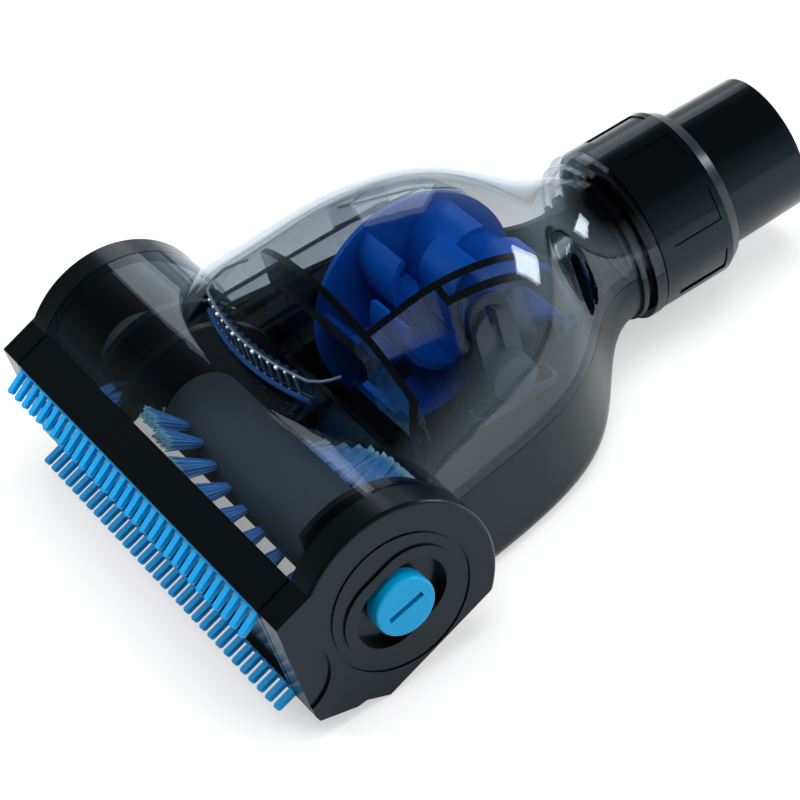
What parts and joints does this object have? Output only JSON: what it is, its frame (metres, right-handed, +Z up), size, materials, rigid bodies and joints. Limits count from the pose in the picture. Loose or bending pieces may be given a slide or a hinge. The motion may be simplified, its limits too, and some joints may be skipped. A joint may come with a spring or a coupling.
{
  "type": "vacuum turbo brush",
  "caption": "Air-driven vacuum turbo brush: clear cover, chevron bristle roll, belt and turbine, swivelling connector tube.",
  "frame": {"origin": "middle of the part's bounding box at floor level; the sole lies on the plane Z = 0", "axes": "+Z up from the floor, +Y from the brush roll towards the wand, +X to the user's right of the head, towards the lock knob"},
  "size_m": [0.1578, 0.215, 0.0755],
  "materials": {
    "black_plastic": "satin black",
    "clear_smoke": "glossy smoked clear plastic",
    "clear_guide": "clear plastic, darker at its top edges",
    "blue_rubber": "satin blue",
    "blue_knob": "satin blue",
    "bristle": "fine nylon",
    "core_black": "matte",
    "turbine_blue": "translucent blue",
    "steel": "ground",
    "bronze": "sintered bronze",
    "belt_rubber": "matte",
    "white_plastic": "matte"
  },
  "bodies": {
    "head": {"base_housing": "black_plastic", "top_cover": "clear_smoke", "air_guide": "clear_guide", "front_frame": "black_plastic", "left_end_cap": "black_plastic", "right_end_cap": "black_plastic", "upper_comb": "blue_rubber", "lower_comb": "blue_rubber", "roll_bush_left": "bronze", "roll_bush_right": "bronze", "roll_carrier": "black_plastic", "drive_belt": "belt_rubber", "turbine_bush_left": "bronze", "turbine_bush_right": "bronze", "turbine_bracket": "black_plastic", "neck_seal": "belt_rubber", "bracket_screws": "steel", "cap_screws": "steel"},
    "brush": {"roll_axle": "steel", "roll_core_left": "core_black", "roll_core_right": "core_black", "roll_pulley": "white_plastic", "bristle_tufts": "bristle"},
    "turbine": {"turbine_wheel": "turbine_blue", "turbine_shaft": "steel", "turbine_pulley": "white_plastic"},
    "knob": {"lock_knob": "blue_knob", "knob_latch": "white_plastic", "latch_screw": "steel"},
    "collar": {"collar_ring": "black_plastic"},
    "connector": {"connector_tube": "black_plastic"}
  },
  "joints": [
    {"name": "roll_spin", "type": "hinge", "parent": "head", "child": "brush", "pos_m": [-0.0014, -0.068, 0.0265], "axis": [1, 0, 0], "continuous": true},
    {"name": "turbine_spin", "type": "hinge", "parent": "head", "child": "turbine", "pos_m": [-0.0014, -0.0037, 0.0357], "axis": [1, 0, 0], "continuous": true},
    {"name": "knob_turn", "type": "hinge", "parent": "head", "child": "knob", "pos_m": [0.0761, -0.068, 0.0265], "axis": [1, 0, 0], "range_deg": [0, 90]},
    {"name": "collar_turn", "type": "hinge", "parent": "head", "child": "collar", "pos_m": [-0.0014, 0.066, 0.0288], "axis": [0, 1, 0], "range_deg": [0, 35]},
    {"name": "connector_swivel", "type": "hinge", "parent": "head", "child": "connector", "pos_m": [-0.0014, 0.0875, 0.0288], "axis": [0, 1, 0], "continuous": true}
  ],
  "couplings": [
    {"joint": "turbine_spin", "follows": "roll_spin", "ratio": 2}
  ]
}
